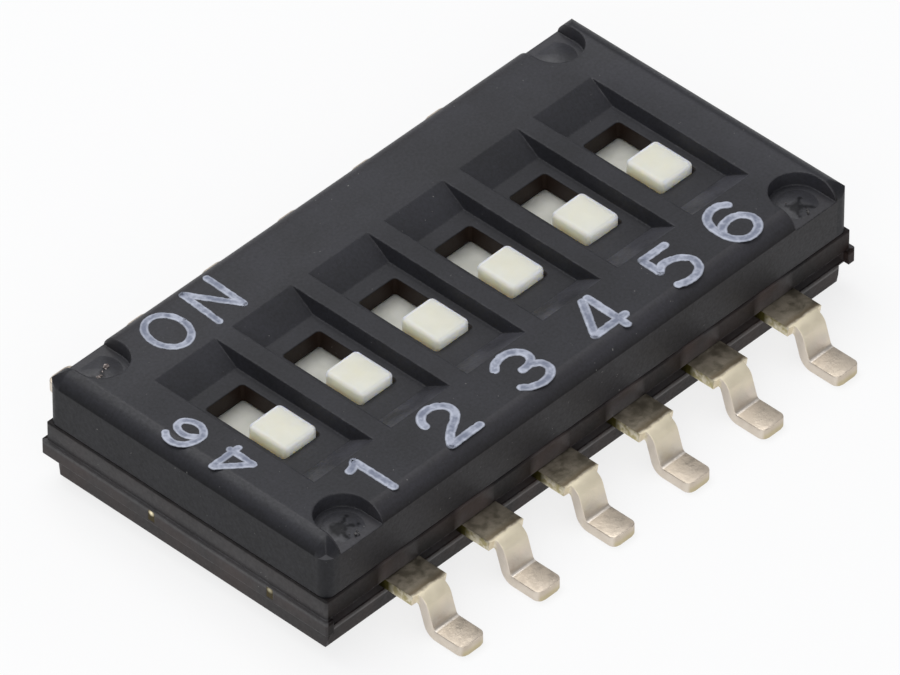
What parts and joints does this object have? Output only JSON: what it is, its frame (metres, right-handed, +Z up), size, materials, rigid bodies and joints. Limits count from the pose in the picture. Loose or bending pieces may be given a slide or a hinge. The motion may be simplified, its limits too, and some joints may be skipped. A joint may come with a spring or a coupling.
{
  "type": "dip switch",
  "caption": "Low black slide switch bank for a circuit board, with small cream knobs in sunken channels and gull-wing solder leads along both long sides.",
  "frame": {"origin": "centre of the footprint on the solder plane, the undersides of the feet", "axes": "+X from switch 1 to the last switch, +Y from the numbered side to the ON side, +Z up out of the board"},
  "size_m": [0.009, 0.0066, 0.0016],
  "materials": {
    "cover_plastic": "fine-grained moulded black, satin",
    "base_plastic": "moulded black, satin",
    "slider_plastic": "moulded cream, satin",
    "spring_metal": "gold plated",
    "terminal_metal": "gold-tinted plating on copper alloy, satin",
    "cut_metal": "sheared copper alloy"
  },
  "bodies": {
    "housing": {"cover": "cover_plastic", "base": "base_plastic", "terminal_front_1": "terminal_metal", "terminal_front_2": "terminal_metal", "terminal_front_3": "terminal_metal", "terminal_front_4": "terminal_metal", "terminal_front_5": "terminal_metal", "terminal_front_6": "terminal_metal", "terminal_back_1": "terminal_metal", "terminal_back_2": "terminal_metal", "terminal_back_3": "terminal_metal", "terminal_back_4": "terminal_metal", "terminal_back_5": "terminal_metal", "terminal_back_6": "terminal_metal", "tie_bar_left_front": "cut_metal", "tie_bar_left_back": "cut_metal", "tie_bar_right_front": "cut_metal", "tie_bar_right_back": "cut_metal"},
    "switch_1": {"slider_1": "slider_plastic", "contact_1": "spring_metal"},
    "switch_2": {"slider_2": "slider_plastic", "contact_2": "spring_metal"},
    "switch_3": {"slider_3": "slider_plastic", "contact_3": "spring_metal"},
    "switch_4": {"slider_4": "slider_plastic", "contact_4": "spring_metal"},
    "switch_5": {"slider_5": "slider_plastic", "contact_5": "spring_metal"},
    "switch_6": {"slider_6": "slider_plastic", "contact_6": "spring_metal"}
  },
  "joints": [
    {"name": "switch_1_slide", "type": "slide", "parent": "housing", "child": "switch_1", "axis": [0, 1, 0], "range_m": [0, 0.00062]},
    {"name": "switch_2_slide", "type": "slide", "parent": "housing", "child": "switch_2", "axis": [0, 1, 0], "range_m": [0, 0.00062]},
    {"name": "switch_3_slide", "type": "slide", "parent": "housing", "child": "switch_3", "axis": [0, 1, 0], "range_m": [0, 0.00062]},
    {"name": "switch_4_slide", "type": "slide", "parent": "housing", "child": "switch_4", "axis": [0, 1, 0], "range_m": [0, 0.00062]},
    {"name": "switch_5_slide", "type": "slide", "parent": "housing", "child": "switch_5", "axis": [0, 1, 0], "range_m": [0, 0.00062]},
    {"name": "switch_6_slide", "type": "slide", "parent": "housing", "child": "switch_6", "axis": [0, 1, 0], "range_m": [0, 0.00062]}
  ]
}
